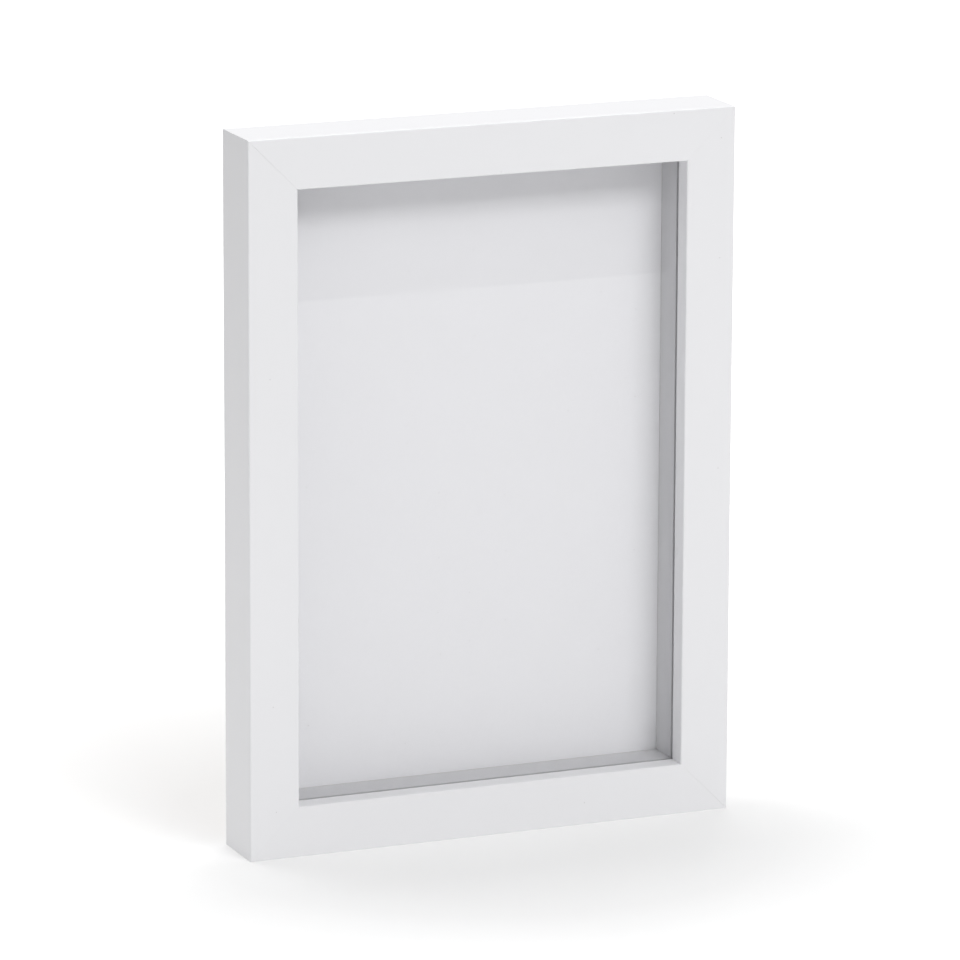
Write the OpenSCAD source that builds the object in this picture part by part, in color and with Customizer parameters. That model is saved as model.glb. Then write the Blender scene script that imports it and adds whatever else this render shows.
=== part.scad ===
// Shadow box: a deep mitred frame with glass, inner spacers, a white display
// card and a lift-out backboard kept in by turn buttons.
//
// The origin is the centre of the footprint of the wooden frame, on the surface
// it stands on. +X is to the right seen from the front, +Y points from the glass
// to the wall and +Z is up. The turn buttons are drawn parked along the rails.

/* [Frame] */
// Outer width of the frame
frame_w = 250; // [220:1:400]
// Outer height of the frame
frame_h = 350; // [280:1:500]
// Depth of the rails from front to back
frame_d = 34; // [30:1:60]
// Width of each rail seen from the front
face_w = 25; // [24:1:30]
// Depth of the lip in front of the glass
lip_d = 10; // [6:1:12]
// Width of the rabbet behind the lip
rabbet_w = 5; // [4:0.5:6]
// Radius of the rounded long edges
edge_r = 0.8; // [0.4:0.1:1.2]
// Width of the fine line between two mitred rails
mitre_gap = 0.04; // [0.02:0.01:0.2]

/* [Glass, card and backboard] */
// Thickness of the glass
glass_t = 2; // [2:0.5:3]
// Thickness of the display card
card_t = 1; // [0.5:0.5:2]
// Thickness of the backboard
board_t = 3; // [2.5:0.5:4]
// Play round each sheet in the rabbet
edge_play = 0.5; // [0.3:0.1:0.8]
// Air between two pieces that lie on each other
lay_gap = 0.1; // [0.05:0.05:0.2]

/* [Turn buttons] */
// Distance from a button's screw to the middle of its round tip
button_l = 15; // [13:1:17]
// Radius of the end round the screw
button_r = 4.5; // [4:0.5:5]
// Radius of the tip
button_tip_r = 3; // [2:0.5:3.5]
// Thickness of a button
button_t = 0.9; // [0.7:0.1:1.5]
// Gap between a button and what it swings over
button_gap = 0.2; // [0.1:0.05:0.3]
// Distance from the frame's outer edge to a screw
button_inset = 12; // [11:0.5:13]
// Distance of the buttons on the top and bottom from the middle
end_button_x = 55; // [45:1:75]
// Distance of the buttons on the sides from the middle
side_button_z = 85; // [45:1:100]

/* [Screws and nails] */
// Radius of a screw's shank
screw_r = 1.5; // [1.25:0.25:1.75]
// Length of a screw below its head
screw_l = 13; // [10:1:15]
// Radius of a screw's head
screw_head_r = 3; // [2.5:0.25:3.5]
// Height of a screw's head
screw_head_h = 1.7; // [1.4:0.1:2]
// Depth of the V nails in the mitres
nail_l = 10; // [7:1:15]
// Length of each wing of a V nail
nail_wing = 5; // [4:0.5:6]

/* [Hangers and bumpers] */
// Radius of the ring's wire
wire_r = 0.8; // [0.7:0.1:0.9]
// Half the width of the ring, to the middle of its wire
ring_half_w = 7.3; // [7.3:0.1:8]
// Length of the ring's straight sides, from its bar
ring_side_l = 6; // [5.5:0.5:8]
// Thickness of the strap's metal, which is folded double
strap_t = 0.6; // [0.5:0.1:0.7]
// Width of the strap
strap_w = 9; // [8:0.5:9]
// Height of the upright hanger's bar above the surface
portrait_bar_z = 312; // [240:1:460]
// Distance of the sideways hanger's bar from the middle
landscape_bar_x = 87; // [70:1:160]
// Radius of a wall bumper
bumper_r = 5; // [4:0.5:5]
// Height of a wall bumper
bumper_h = 3.2; // [3:0.1:4]
// Distance of the bumpers from the top and bottom edges
bumper_z = 32; // [24:1:40]

/* [Hidden] */

$fn = 64;
eps = 0.01;

// Stack from front to back
front_y = -frame_d / 2;
back_y = frame_d / 2;
lip_y = front_y + lip_d;
glass_y = lip_y + lay_gap;
spacer_y = glass_y + glass_t + lay_gap;
board_y = back_y - board_t;
card_y = board_y - lay_gap - card_t;
spacer_d = card_y - lay_gap - spacer_y;

// Sight opening, rabbet and sheets
sight_w = frame_w - 2 * face_w;
sight_h = frame_h - 2 * face_w;
pane_w = sight_w + 2 * (rabbet_w - edge_play);
pane_h = sight_h + 2 * (rabbet_w - edge_play);
spacer_t = rabbet_w - 0.2;

// Angle that carries a rail from the bottom to each side of the frame
BOTTOM = 0;
LEFT = 90;
TOP = 180;
RIGHT = -90;
SIDES = [BOTTOM, LEFT, TOP, RIGHT];

// Screws, nails and rivets
pivot_play = 0.05;
button_y = back_y + button_gap;
screw_head_y = button_y + button_t + lay_gap;
recess_d = 0.9;
recess_w = 0.8;
recess_l = 3.4;
nail_t = 0.5;
nail_angle = 52;
nail_at = [11, 19];
nail_sink = 0.2;
nail_play = 0.05;
rivet_r = 1.5;
rivet_head_r = 2.6;
rivet_head_h = 1;
rivet_tail_h = 0.6;
rivet_drop = 6.5;

// Hanger, in its own frame: the bar lies along X at z = 0 and the board's back is y = 0
eye_r = wire_r + pivot_play;
eye_outer_r = eye_r + strap_t;
eye_y = eye_outer_r + lay_gap;
strap_l = 7;
ring_corner_r = 2;

function rail_length(side) = abs(side) == 90 ? frame_h : frame_w;
function screw_offset(side) = abs(side) == 90 ? side_button_z : end_button_x;

// Points of a V with its point at the origin, open towards -X
function vee(wing, t, a) = let (end = wing * [-cos(a), sin(a)], in = t * [-sin(a), -cos(a)])
    [[0, 0], end, end + in, [-t / sin(a), 0], flip(end + in), flip(end)];
function flip(p) = [p.x, -p.y];

// Points that close the gap between two circles on the X axis, a distance l apart
function tangent_quad(r1, r2, l) = let (s = (r1 - r2) / l, c = sqrt(1 - s * s))
    [[r1 * s, r1 * c], [l + r2 * s, r2 * c], [l + r2 * s, -r2 * c], [r1 * s, -r1 * c]];

// Point where the line from p touches the circle of radius r round c, on its left
function touch_point(p, c, r) = let (d = p - c, a = atan2(d.y, d.x) + acos(r / norm(d)))
    c + r * [cos(a), sin(a)];

// Carries children from the bottom rail's place to another side of the frame
module on_side(side) {
    half = (abs(side) == 90 ? frame_w : frame_h) / 2;
    translate([0, 0, frame_h / 2]) rotate([0, side, 0]) translate([0, 0, -half]) children();
}

// Extrudes a shape drawn in (depth, height) along X, centred
module along_x(l) {
    rotate([90, 0, 90]) translate([0, 0, -l / 2]) linear_extrude(l) children();
}

// Extrudes a shape drawn in (X, Z) along +Y from the given depth
module along_y(y, l) {
    translate([0, y + l, 0]) rotate([90, 0, 0]) linear_extrude(l) children();
}

// A cylinder along +Y from the given depth
module rod_y(y, l, r) {
    translate([0, y, 0]) rotate([-90, 0, 0]) cylinder(h = l, r = r);
}

// A slice of a sphere standing on the plane y = 0, with the given radius and height
module dome(r, h) {
    ball_r = (r * r + h * h) / (2 * h);
    intersection() {
        translate([0, h - ball_r, 0]) sphere(ball_r);
        rod_y(0, h + 1, r + 1);
    }
}

// A flat box centred on the sight opening
module sheet(y, t, w, h) {
    translate([-w / 2, y, (frame_h - h) / 2]) cube([w, t, h]);
}

// Cross-section of a rail, in (depth, distance from the outer edge)
module rail_profile() {
    body_w = face_w - rabbet_w;
    translate([front_y, edge_r]) square([lip_d, face_w - 2 * edge_r]);
    translate([front_y + edge_r, 0]) square([lip_d - edge_r, face_w]);
    translate([front_y + edge_r, 0]) square([frame_d - 2 * edge_r, body_w]);
    translate([front_y + edge_r, edge_r]) square([frame_d - edge_r, body_w - edge_r]);
    translate([front_y + edge_r, edge_r]) circle(edge_r);
    translate([front_y + edge_r, face_w - edge_r]) circle(edge_r);
    translate([back_y - edge_r, edge_r]) circle(edge_r);
}

// Places children at both ends of a rail, on the mitre, with +X inward along it
module at_mitres(l, from_corner) {
    for (s = [-1, 1]) mirror([s > 0 ? 1 : 0, 0, 0])
        translate([-l / 2 + from_corner / sqrt(2), 0, from_corner / sqrt(2)])
            rotate([0, -45, 0]) children();
}

module v_nail(play = 0) {
    translate([play / sin(nail_angle), 0, 0])
        along_y(back_y - nail_sink - nail_l - play, nail_l + play + (play > 0 ? 1 : 0))
            polygon(vee(nail_wing + 2 * play, nail_t + 2 * play, nail_angle));
}

// The bottom rail: its mitres are cut back by half the fine line between rails
module rail(side) {
    l = rail_length(side);
    cut = mitre_gap / sqrt(2);
    on_side(side) difference() {
        intersection() {
            along_x(l) rail_profile();
            along_y(front_y - 1, frame_d + 2)
                polygon([[-l / 2 + cut, 0], [l / 2 - cut, 0],
                         [l / 2 - cut - face_w, face_w], [-l / 2 + cut + face_w, face_w]]);
        }
        for (s = [-1, 1]) translate([s * screw_offset(side), 0, button_inset])
            rod_y(back_y - screw_l, screw_l + 1, screw_r + pivot_play);
        for (d = nail_at) at_mitres(l, d) v_nail(nail_play);
    }
}

module top_rail() { color("whitesmoke") rail(TOP); }
module bottom_rail() { color("whitesmoke") rail(BOTTOM); }
module left_rail() { color("whitesmoke") rail(LEFT); }
module right_rail() { color("whitesmoke") rail(RIGHT); }

module corner_v_nails() {
    color("dimgray") for (side = [BOTTOM, TOP], d = nail_at)
        on_side(side) at_mitres(rail_length(side), d) v_nail();
}

module glass_pane() { color("lightcyan", 0.4) sheet(glass_y, glass_t, pane_w, pane_h); }
module display_card() { color("white") sheet(card_y, card_t, pane_w, pane_h); }

// Spacer strip lying in the rabbet of the bottom rail
module spacer(side, l) {
    on_side(side) translate([-l / 2, spacer_y, face_w - spacer_t])
        cube([l, spacer_d, spacer_t]);
}

module top_spacer() { color("white") spacer(TOP, sight_w + 2 * spacer_t); }
module bottom_spacer() { color("white") spacer(BOTTOM, sight_w + 2 * spacer_t); }
module left_spacer() { color("white") spacer(LEFT, sight_h - 2 * lay_gap); }
module right_spacer() { color("white") spacer(RIGHT, sight_h - 2 * lay_gap); }

// Places children at the upright hanger, then at the sideways one
module at_portrait() { translate([0, back_y, portrait_bar_z]) children(); }
module at_landscape() {
    translate([landscape_bar_x, back_y, frame_h / 2]) rotate([0, 90, 0]) children();
}

// Backboard, with a stepped hole behind each hanger that takes the rivet's tail
module backboard() {
    color("peru") difference() {
        sheet(board_y, board_t, pane_w, pane_h);
        at_portrait() rivet_hole();
        at_landscape() rivet_hole();
    }
}

module rivet_hole() {
    translate([0, 0, -rivet_drop]) {
        rod_y(-board_t - 1, board_t + 2, rivet_r + pivot_play);
        rod_y(-board_t - 1, 1 + rivet_tail_h + lay_gap, rivet_head_r + pivot_play);
    }
}

// Turn button on a side of the frame, parked with its tip towards the side's middle
module turn_button(side, s) {
    color("silver") on_side(side)
        translate([s * screw_offset(side), 0, button_inset]) mirror([s > 0 ? 1 : 0, 0, 0])
            difference() {
                union() {
                    rod_y(button_y, button_t, button_r);
                    translate([button_l, 0, 0]) rod_y(button_y, button_t, button_tip_r);
                    along_y(button_y, button_t)
                        polygon(tangent_quad(button_r, button_tip_r, button_l));
                }
                rod_y(back_y, button_gap + button_t + 1, screw_r + pivot_play);
            }
}

module turn_button_top_left() { turn_button(TOP, 1); }
module turn_button_top_right() { turn_button(TOP, -1); }
module turn_button_right_upper() { turn_button(RIGHT, 1); }
module turn_button_right_lower() { turn_button(RIGHT, -1); }
module turn_button_bottom_right() { turn_button(BOTTOM, 1); }
module turn_button_bottom_left() { turn_button(BOTTOM, -1); }
module turn_button_left_lower() { turn_button(LEFT, 1); }
module turn_button_left_upper() { turn_button(LEFT, -1); }

// Outline of a screw's head with a rounded rim, from the axis outward
module screw_head_profile() {
    rim = 0.45 * screw_head_h;
    square([screw_head_r - rim, screw_head_h]);
    square([screw_head_r, screw_head_h - rim]);
    translate([screw_head_r - rim, screw_head_h - rim]) circle(rim);
}

// Pan head screw with a cross recess, its head's underside at y = 0
module pan_screw() {
    point_l = 3;
    difference() {
        rotate([-90, 0, 0]) rotate_extrude() screw_head_profile();
        for (a = [45, 135]) rotate([0, a, 0])
            translate([-recess_l / 2, screw_head_h - recess_d, -recess_w / 2])
                cube([recess_l, recess_d + 1, recess_w]);
    }
    rod_y(point_l - screw_l, screw_l - point_l + eps, screw_r);
    translate([0, point_l - screw_l, 0]) rotate([90, 0, 0])
        cylinder(h = point_l, r1 = screw_r, r2 = 0.3);
}

module turn_button_screws() {
    color("gainsboro") for (side = SIDES, s = [-1, 1])
        on_side(side) translate([s * screw_offset(side), screw_head_y, button_inset]) pan_screw();
}

// Side view of the folded strap, in (depth, height): the eye round the ring's bar
// and the two layers below it, lying on each other
module strap_side() {
    base_y = eye_y - eye_outer_r;
    fold = [base_y + 2 * strap_t, -2.2 * eye_outer_r];
    difference() {
        union() {
            translate([eye_y, 0]) circle(eye_outer_r);
            translate([base_y, -strap_l - strap_w]) square([strap_t, strap_l + strap_w]);
            translate([base_y, -strap_l - strap_w]) square([2 * strap_t, strap_l + strap_w + fold.y]);
            polygon([fold, touch_point(fold, [eye_y, 0], eye_outer_r), [eye_y, 0], [base_y, fold.y]]);
        }
        translate([eye_y, 0]) circle(eye_r);
    }
}

module hanger_strap() {
    color("silver") difference() {
        intersection() {
            along_x(strap_w) strap_side();
            along_y(-1, 10) {
                translate([-strap_w / 2, -strap_l]) square([strap_w, strap_l + 5]);
                translate([0, -strap_l]) circle(strap_w / 2);
            }
        }
        translate([0, 0, -rivet_drop]) rod_y(0, 5, rivet_r + pivot_play);
    }
}

// A bend of the ring's wire, in the plane of the ring, turning from one angle
module wire_bend(r, from, turn) {
    rotate([90, 0, 0]) rotate([0, 0, from]) rotate_extrude(angle = turn)
        translate([r, 0]) circle(wire_r);
}

// D-ring hanging from its bar, its plane parallel to the board
module hanger_ring() {
    bar_half = ring_half_w - ring_corner_r;
    color("silver") translate([0, eye_y, 0]) {
        translate([-bar_half, 0, 0]) rotate([0, 90, 0]) cylinder(h = 2 * bar_half, r = wire_r);
        for (s = [-1, 1]) {
            translate([s * bar_half, 0, -ring_corner_r]) wire_bend(ring_corner_r, s > 0 ? 0 : 90, 90);
            translate([s * ring_half_w, 0, -ring_side_l])
                cylinder(h = ring_side_l - ring_corner_r, r = wire_r);
        }
        translate([0, 0, -ring_side_l]) wire_bend(ring_half_w, 180, 180);
    }
}

module portrait_hanger_strap() { at_portrait() hanger_strap(); }
module portrait_hanger_ring() { at_portrait() hanger_ring(); }
module landscape_hanger_strap() { at_landscape() hanger_strap(); }
module landscape_hanger_ring() { at_landscape() hanger_ring(); }

// Rivet with a domed head on the strap and its tail sunk in the board's front
module rivet() {
    head_y = lay_gap + 2 * strap_t + eps;
    translate([0, 0, -rivet_drop]) {
        rod_y(-board_t, board_t + head_y + eps, rivet_r);
        rod_y(-board_t, rivet_tail_h, rivet_head_r);
        translate([0, head_y, 0]) dome(rivet_head_r, rivet_head_h);
    }
}

module hanger_rivets() {
    color("lightgray") {
        at_portrait() rivet();
        at_landscape() rivet();
    }
}

module wall_bumpers() {
    color("dimgray") for (x = [-1, 1], z = [bumper_z, frame_h - bumper_z])
        translate([x * (frame_w / 2 - (face_w - rabbet_w) / 2), back_y, z]) dome(bumper_r, bumper_h);
}

top_rail();
bottom_rail();
left_rail();
right_rail();
corner_v_nails();
glass_pane();
top_spacer();
bottom_spacer();
left_spacer();
right_spacer();
display_card();
backboard();
turn_button_top_left();
turn_button_top_right();
turn_button_right_upper();
turn_button_right_lower();
turn_button_bottom_right();
turn_button_bottom_left();
turn_button_left_lower();
turn_button_left_upper();
turn_button_screws();
portrait_hanger_strap();
portrait_hanger_ring();
landscape_hanger_strap();
landscape_hanger_ring();
hanger_rivets();
wall_bumpers();
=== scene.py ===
"""Looks of the shadow box: its materials, a white studio and the camera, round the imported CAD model."""

import math

import bpy
from mathutils import Matrix, Vector


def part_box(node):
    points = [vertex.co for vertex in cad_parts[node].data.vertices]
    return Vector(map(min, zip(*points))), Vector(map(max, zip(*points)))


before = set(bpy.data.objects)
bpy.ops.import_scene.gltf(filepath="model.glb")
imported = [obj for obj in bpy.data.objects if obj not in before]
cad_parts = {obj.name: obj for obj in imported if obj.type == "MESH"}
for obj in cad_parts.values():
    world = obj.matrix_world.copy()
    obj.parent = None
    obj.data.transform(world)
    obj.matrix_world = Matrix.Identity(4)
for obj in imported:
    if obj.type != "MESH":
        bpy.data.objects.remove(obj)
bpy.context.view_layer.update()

MM = 0.001
WHITE = (1, 1, 1, 1)

# Where the frame's faces lie
LEFT_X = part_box("left_rail")[0].x
BACK_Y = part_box("left_rail")[1].y
TOP_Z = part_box("top_rail")[1].z
CENTRE = Vector((0, 0, TOP_Z / 2))


# ---------------------------------------------------------------- shader building

class Nodes:
    """Short calls that add shader nodes to a tree and link them."""

    def __init__(self, tree):
        self.tree = tree

    def add(self, kind, inputs=(), **settings):
        """Adds a node. An input given as a socket is linked, any other value is set."""
        node = self.tree.nodes.new("ShaderNode" + kind)
        for name, value in settings.items():
            setattr(node, name, value)
        for name, value in dict(inputs).items():
            if isinstance(value, bpy.types.NodeSocket):
                self.tree.links.new(value, node.inputs[name])
            else:
                node.inputs[name].default_value = value
        return node

    def show(self, output, surface):
        """Shows a shader on the surface of a material or world."""
        self.tree.links.new(surface.outputs[0], self.tree.nodes[output].inputs["Surface"])


class Finish(Nodes):
    """A node material. Its position socket is the place on the object, in metres in the frame's axes."""

    def __init__(self, name, constants):
        self.material = bpy.data.materials.new(name)
        self.material.use_nodes = True
        super().__init__(self.material.node_tree)
        self.shader = self.tree.nodes["Principled BSDF"]
        self.position = self.add("TexCoord").outputs["Object"]
        for socket, value in constants.items():
            self.shader.inputs[socket].default_value = value

    def drive(self, socket, value):
        """Links a value to an input of the material's shader."""
        self.tree.links.new(value, self.shader.inputs[socket])

    def math(self, operation, *values):
        """A Math node on one or two values or sockets."""
        return self.add("Math", enumerate(values), operation=operation).outputs[0]

    def axes(self, vector):
        """The X, Y and Z sockets of a vector."""
        return self.add("SeparateXYZ", {"Vector": vector}).outputs[:3]

    def stretched(self, factors, turn=(0, 0, 0)):
        """The position turned, then scaled along each axis."""
        turned = self.add("Mapping", {"Vector": self.position, "Rotation": turn}).outputs[0]
        return self.add("Mapping", {"Vector": turned, "Scale": factors}).outputs[0]

    def noise(self, size, detail=3, roughness=0.5, position=None):
        """Fractal noise from 0 to 1 whose blots are about size metres across."""
        inputs = {"Scale": 1 / size, "Detail": detail, "Roughness": roughness}
        return self.add("TexNoise", {"Vector": position or self.position, **inputs}).outputs["Fac"]

    def span(self, value, start, end, low=0, high=1):
        """Carries value from start..end to low..high, and holds it there outside."""
        inputs = {"Value": value, "From Min": start, "From Max": end, "To Min": low, "To Max": high}
        return self.add("MapRange", inputs).outputs["Result"]

    def blend(self, share, first, second):
        """The first colour where share is 0, the second where it is 1."""
        mixer = self.add("Mix", {"Factor": share}, data_type="RGBA")
        for index, value in ((6, first), (7, second)):
            if isinstance(value, bpy.types.NodeSocket):
                self.tree.links.new(value, mixer.inputs[index])
            else:
                mixer.inputs[index].default_value = (*value, 1)
        return mixer.outputs[2]

    def specks(self, spacing, radius, share):
        """1 inside specks on the faces that look forward. They lie about spacing apart.

        Only a share of them shows.
        """
        x, _, z = self.axes(self.position)
        across = self.add("CombineXYZ", {"X": x, "Y": z}).outputs[0]
        cells = self.add("TexVoronoi", {"Vector": across, "Scale": 1 / spacing}, voronoi_dimensions="2D")
        picked = self.add("SeparateColor", {"Color": cells.outputs["Color"]}).outputs[0]
        chosen = self.math("LESS_THAN", picked, share)
        edge = self.span(cells.outputs["Distance"], radius / spacing, 0.6 * radius / spacing)
        return self.math("MULTIPLY", chosen, edge)

    def bump(self, height, depth, below=None):
        """A normal that raises the surface by depth metres where height is 1, added to the normal below."""
        inputs = {"Height": height, "Distance": depth}
        if below:
            inputs["Normal"] = below
        return self.add("Bump", inputs).outputs["Normal"]


def dress(finish, *nodes):
    """Gives CAD nodes a finish."""
    for name in nodes:
        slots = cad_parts[name].data.materials
        slots.clear()
        slots.append(finish.material)


def ease_edges(name, width):
    """Rounds a CAD node's sharp edges as it is drawn."""
    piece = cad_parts[name]
    weld = piece.modifiers.new("weld", "WELD")
    weld.merge_threshold = 0.001 * MM
    bevel = piece.modifiers.new("eased_edges", "BEVEL")
    bevel.width = width
    bevel.segments = 2
    bevel.limit_method = "ANGLE"
    bevel.angle_limit = math.radians(35)
    bevel.harden_normals = True


# ---------------------------------------------------------------- materials

WHITE_FOIL = (0.86, 0.86, 0.877)
# The white rail foil darkened for the spacers: painted shade on the box's inner walls
SHADED_SPACER_FOIL = (0.62, 0.62, 0.633)
FOIL_DUST = (0.35, 0.34, 0.33)
FIBREBOARD = (0.42, 0.29, 0.18)
FIBREBOARD_BLOTS = (0.52, 0.39, 0.26)
CARD_WHITE = (0.94, 0.94, 0.958)
CARD_FELT = (0.6, 0.6, 0.62)
CARD_DUST = (0.4, 0.39, 0.38)
GLASS_TINT = (0.99, 0.99, 0.992, 1)
GLASS_INDEX = 1.5
HARDBOARD = (0.25, 0.147, 0.075)
HARDBOARD_FIBRES = (0.38, 0.236, 0.127)
HARDBOARD_BLOTS = (0.25, 0.145, 0.075)
NAIL_STEEL = (0.42, 0.43, 0.45)
NAIL_TARNISH = (0.26, 0.27, 0.29)
ZINC = (0.66, 0.67, 0.69)
DULL_ZINC = (0.58, 0.58, 0.57)
RUBBER = (0.075, 0.075, 0.08)
DUSTY_RUBBER = (0.16, 0.155, 0.15)


def dimmed(colour, factor):
    """The colour made darker."""
    return tuple(factor * c for c in colour)


def foil(name, colour, raw):
    """Satin white foil over fibreboard; a colour darker than white paints shade on it. raw(finish) gives a
    socket that is 1 where the board is bare.
    """
    made = Finish(name, {"IOR": 1.46})
    clouds = made.noise(90 * MM, detail=2)
    white = made.blend(clouds, dimmed(colour, 0.992), colour)
    dust = made.specks(spacing=23 * MM, radius=0.35 * MM, share=0.16)
    white = made.blend(made.math("MULTIPLY", dust, 0.35), white, FOIL_DUST)
    peel = made.bump(made.noise(1.6 * MM, detail=2), 0.012 * MM)
    bare = raw(made)
    fibres = made.noise(0.5 * MM, detail=5, roughness=0.7)
    blots = made.noise(7 * MM, detail=3)
    brown = made.blend(made.span(fibres, 0.35, 0.7), dimmed(FIBREBOARD, 0.62), FIBREBOARD)
    brown = made.blend(made.math("MULTIPLY", blots, 0.35), brown, FIBREBOARD_BLOTS)
    made.drive("Base Color", made.blend(bare, white, brown))
    made.drive("Roughness", made.span(bare, 0, 1, low=0.42, high=0.9))
    made.drive("Normal", made.bump(made.math("MULTIPLY", fibres, bare), 0.12 * MM, below=peel))
    return made


def bare_back(finish):
    """Bare fibreboard on the rails' back, inside the foil's cut edge."""
    foil_width = 4.5 * MM
    depth = 6 * MM
    fade = 0.1 * MM
    x, y, z = finish.axes(finish.position)
    from_side = finish.math("SUBTRACT", -LEFT_X, finish.math("ABSOLUTE", x))
    from_middle = finish.math("ABSOLUTE", finish.math("SUBTRACT", z, TOP_Z / 2))
    from_end = finish.math("SUBTRACT", TOP_Z / 2, from_middle)
    inward = finish.math("MINIMUM", from_side, from_end)
    wander = finish.span(finish.noise(9 * MM, detail=4), 0, 1, low=-0.5 * MM, high=0.5 * MM)
    foil_edge = finish.span(finish.math("ADD", inward, wander), foil_width, foil_width + fade)
    behind = finish.span(y, BACK_Y - depth, BACK_Y - depth + fade)
    return finish.math("MULTIPLY", foil_edge, behind)


def bare_spacer_end(finish):
    """Bare fibreboard on the spacers' sawn back edges."""
    _, y, _ = finish.axes(finish.position)
    spacer_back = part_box("left_spacer")[1].y
    return finish.span(y, spacer_back - 0.04 * MM, spacer_back - 0.02 * MM)


def card():
    """Matt white card with a faint felt surface and a few dark specks."""
    made = Finish("matt_card", {"Roughness": 0.85, "IOR": 1.4})
    felt = made.noise(0.7 * MM, detail=5, roughness=0.65)
    clouds = made.noise(60 * MM, detail=3)
    white = made.blend(clouds, dimmed(CARD_WHITE, 0.985), CARD_WHITE)
    white = made.blend(made.span(felt, 0.3, 0.7, low=0.06, high=0), white, CARD_FELT)
    dust = made.specks(spacing=17 * MM, radius=0.4 * MM, share=0.14)
    white = made.blend(made.math("MULTIPLY", dust, 0.3), white, CARD_DUST)
    made.drive("Base Color", white)
    made.drive("Normal", made.bump(felt, 0.03 * MM))
    return made


def clear_glass():
    """Float glass: what lies behind it shows through, and it mirrors more at a glancing angle."""
    made = Finish("clear_glass", {})
    made.tree.nodes.remove(made.shader)
    smudges = made.span(made.noise(35 * MM, detail=5, roughness=0.6), 0.45, 0.75, low=0.01, high=0.05)
    through = made.add("BsdfTransparent", {"Color": GLASS_TINT})
    mirror = made.add("BsdfAnisotropic", {"Roughness": smudges})
    # On the way out of the glass the node turns the index over, so it is given turned over already
    leaving = made.add("NewGeometry").outputs["Backfacing"]
    index = made.span(leaving, 0, 1, low=GLASS_INDEX, high=1 / GLASS_INDEX)
    facing = made.add("Fresnel", {"IOR": index})
    surface = made.add("MixShader", {0: facing.outputs[0], 1: through.outputs[0], 2: mirror.outputs[0]})
    made.show("Material Output", surface)
    return made


def hardboard():
    """Brown pressed board: fine short fibres lying every way, darker blots and a slightly waxed face."""
    made = Finish("brown_hardboard", {"IOR": 1.45})
    strands = []
    for turn in (18, 75, 134):
        along = made.stretched((0.2, 1, 1), (0, math.radians(turn), 0))
        strands.append(made.noise(0.6 * MM, detail=4, roughness=0.6, position=along))
    fibres = made.math("MAXIMUM", made.math("MAXIMUM", strands[0], strands[1]), strands[2])
    blots = made.noise(14 * MM, detail=4, roughness=0.6)
    brown = made.blend(made.span(fibres, 0.45, 0.75), HARDBOARD, HARDBOARD_FIBRES)
    brown = made.blend(made.span(blots, 0.35, 0.7, high=0.45), brown, HARDBOARD_BLOTS)
    made.drive("Base Color", brown)
    made.drive("Roughness", made.span(fibres, 0.4, 0.8, low=0.62, high=0.42))
    made.drive("Normal", made.bump(fibres, 0.05 * MM))
    return made


def steel(name, light, dark, rough, smooth):
    """Steel sheet or wire: cloudy plating, fine scratches and worn spots."""
    made = Finish(name, {"Metallic": 1.0})
    clouds = made.noise(3 * MM, detail=4, roughness=0.6)
    brushed = made.stretched((1, 1, 0.08), (0, math.radians(33), 0))
    scratches = made.noise(0.25 * MM, detail=3, position=brushed)
    made.drive("Base Color", made.blend(made.span(clouds, 0.35, 0.65), dark, light))
    wear = made.math("ADD", made.math("MULTIPLY", clouds, 0.6), made.math("MULTIPLY", scratches, 0.4))
    made.drive("Roughness", made.span(wear, 0.35, 0.65, low=smooth, high=rough))
    made.drive("Normal", made.bump(scratches, 0.008 * MM))
    return made


def rubber():
    """Dull dark grey rubber with a moulded grain and a little dust."""
    made = Finish("grey_rubber", {"Roughness": 0.6, "IOR": 1.5})
    grain = made.noise(0.35 * MM, detail=3)
    dust = made.span(made.noise(2.5 * MM, detail=4), 0.5, 0.75, high=0.35)
    made.drive("Base Color", made.blend(dust, RUBBER, DUSTY_RUBBER))
    made.drive("Normal", made.bump(grain, 0.03 * MM))
    return made


SIDES = ("top", "bottom", "left", "right")
BUTTONS_AND_SCREWS = [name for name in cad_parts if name.startswith("turn_button_")]
BUTTONS = [name for name in BUTTONS_AND_SCREWS if name != "turn_button_screws"]
HANGERS = [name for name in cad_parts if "_hanger_" in name]

dress(foil("rail_foil", WHITE_FOIL, bare_back), *(side + "_rail" for side in SIDES))
# The spacers' darker foil is painted shade on the inner walls
dress(foil("spacer_foil_painted_shade", SHADED_SPACER_FOIL, bare_spacer_end), *(side + "_spacer" for side in SIDES))
dress(card(), "display_card")
dress(clear_glass(), "glass_pane")
dress(hardboard(), "backboard")
dress(rubber(), "wall_bumpers")
dress(steel("nail_steel", NAIL_STEEL, NAIL_TARNISH, rough=0.55, smooth=0.35), "corner_v_nails")
bright_zinc = steel("bright_zinc", ZINC, DULL_ZINC, rough=0.40, smooth=0.22)
dress(bright_zinc, "hanger_rivets", *BUTTONS_AND_SCREWS, *HANGERS)

for name in BUTTONS:
    ease_edges(name, 0.15 * MM)
for name in ("portrait_hanger_strap", "landscape_hanger_strap"):
    ease_edges(name, 0.1 * MM)


# ---------------------------------------------------------------- studio

TABLE_GREY = (0.55, 0.55, 0.55, 1)
TABLE_GLOW = 0.404

# Distances from the object between which the table turns white to the camera
WHITE_FROM, WHITE_BY = 0.15, 0.7

# Radiance of the room around the object, towards +X, +Y and +Z, and towards -X, -Y and -Z
ROOM_AHEAD = (0.3, 0.223, 0.1)
ROOM_BEHIND = (0.466, 0.419, 0.7)

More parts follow.
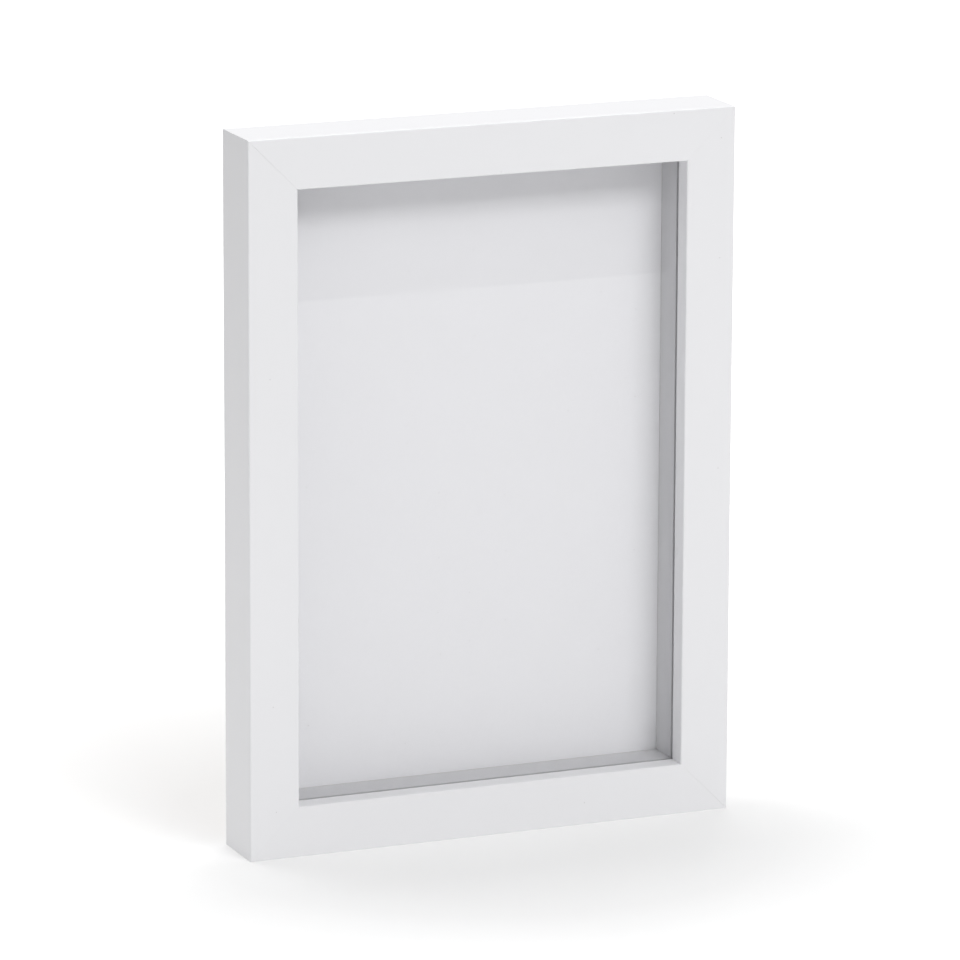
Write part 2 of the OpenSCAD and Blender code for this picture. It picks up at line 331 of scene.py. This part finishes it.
# Softboxes: azimuth and elevation in degrees, distance, width and height in metres, and power in watts
SOFTBOXES = {
    "key_right": (18, 38, 2.5, 0.9, 0.6, 13),
    "key_high": (18, 50, 2.5, 0.9, 0.6, 5.3),
    "key_front": (4, 38, 2.5, 0.9, 0.6, 9.8),
    "top": (180, 68, 2.4, 2.0, 1.2, 46.5),
    "left_strip": (-92, -12, 0.5, 0.7, 0.12, 0.11),
}


def direction(azimuth, elevation):
    """Unit vector from the object. Azimuth 0 is towards the front, and 90 towards +X."""
    turn, lift = math.radians(azimuth), math.radians(elevation)
    return Vector((math.sin(turn) * math.cos(lift), -math.cos(turn) * math.cos(lift), math.sin(lift)))


def softbox(name, azimuth, elevation, distance, width, height, power):
    """An area light that faces the middle of the frame."""
    light = bpy.data.lights.new(name, "AREA")
    light.shape = "RECTANGLE"
    light.size = width
    light.size_y = height
    light.energy = power
    lamp = bpy.data.objects.new(name, light)
    towards = direction(azimuth, elevation)
    lamp.location = CENTRE + distance * towards
    lamp.rotation_euler = towards.to_track_quat("Z", "Y").to_euler()
    lamp.visible_camera = False
    bpy.context.scene.collection.objects.link(lamp)


def room():
    """Soft light from every side. The camera sees plain white instead."""
    world = bpy.data.worlds.new("room")
    world.use_nodes = True
    bpy.context.scene.world = world
    nodes = Nodes(world.node_tree)
    towards = nodes.add("TexCoord").outputs["Generated"]
    halves = []
    for side, radiance in (("MAXIMUM", ROOM_AHEAD), ("MINIMUM", ROOM_BEHIND)):
        half = nodes.add("VectorMath", {0: towards, 1: (0, 0, 0)}, operation=side).outputs[0]
        square = nodes.add("VectorMath", {0: half, 1: half}, operation="MULTIPLY").outputs[0]
        weighed = nodes.add("VectorMath", {0: square, 1: radiance}, operation="DOT_PRODUCT")
        halves.append(weighed.outputs["Value"])
    strength = nodes.add("Math", {0: halves[0], 1: halves[1]}, operation="ADD").outputs[0]
    light = nodes.add("Background", {"Color": WHITE, "Strength": strength})
    backdrop = nodes.add("Background", {"Color": WHITE})
    seen = nodes.add("LightPath").outputs["Is Camera Ray"]
    shown = nodes.add("MixShader", {0: seen, 1: light.outputs[0], 2: backdrop.outputs[0]})
    nodes.show("World Output", shown)


def table():
    """The white table that the object stands on. The glass mirrors its front edge.

    Away from the object the camera sees it as white as the room, so that no horizon shows. The light that
    it gives stays the same.
    """
    side, front, back = 3.0, -1.2, 4.0
    mesh = bpy.data.meshes.new("studio_table")
    corners = [(-side, front, 0), (side, front, 0), (side, back, 0), (-side, back, 0)]
    mesh.from_pydata(corners, [], [(0, 1, 2, 3)])
    floor = bpy.data.objects.new("studio_table", mesh)
    bpy.context.scene.collection.objects.link(floor)
    matt = {"Base Color": TABLE_GREY, "Roughness": 0.8, "Emission Color": WHITE}
    finish = Finish("table_white", matt)
    away = finish.add("VectorMath", {0: finish.position}, operation="LENGTH").outputs["Value"]
    seen = finish.add("LightPath").outputs["Is Camera Ray"]
    seen_away = finish.math("MULTIPLY", seen, away)
    finish.drive("Emission Strength", finish.span(seen_away, WHITE_FROM, WHITE_BY, low=TABLE_GLOW, high=1))
    mesh.materials.append(finish.material)


def camera():
    """The photograph's view: from the left and a little above, with a long lens."""
    azimuth, elevation, roll = -22.72, 13.39, 0.23
    distance = 3.215
    below_middle = 2 * MM
    lens = bpy.data.cameras.new("camera")
    lens.sensor_width = 36
    lens.lens = 250.74
    eye = bpy.data.objects.new("camera", lens)
    towards = direction(azimuth, elevation)
    aim = CENTRE - Vector((0, 0, below_middle))
    level = towards.to_track_quat("Z", "Y").to_matrix().to_4x4()
    rolled = Matrix.Rotation(math.radians(roll), 4, "Z")
    eye.matrix_world = Matrix.Translation(aim + distance * towards) @ level @ rolled
    bpy.context.scene.collection.objects.link(eye)
    bpy.context.scene.camera = eye


room()
table()
for name, values in SOFTBOXES.items():
    softbox(name, *values)
camera()
bpy.context.scene.view_settings.view_transform = "Standard"
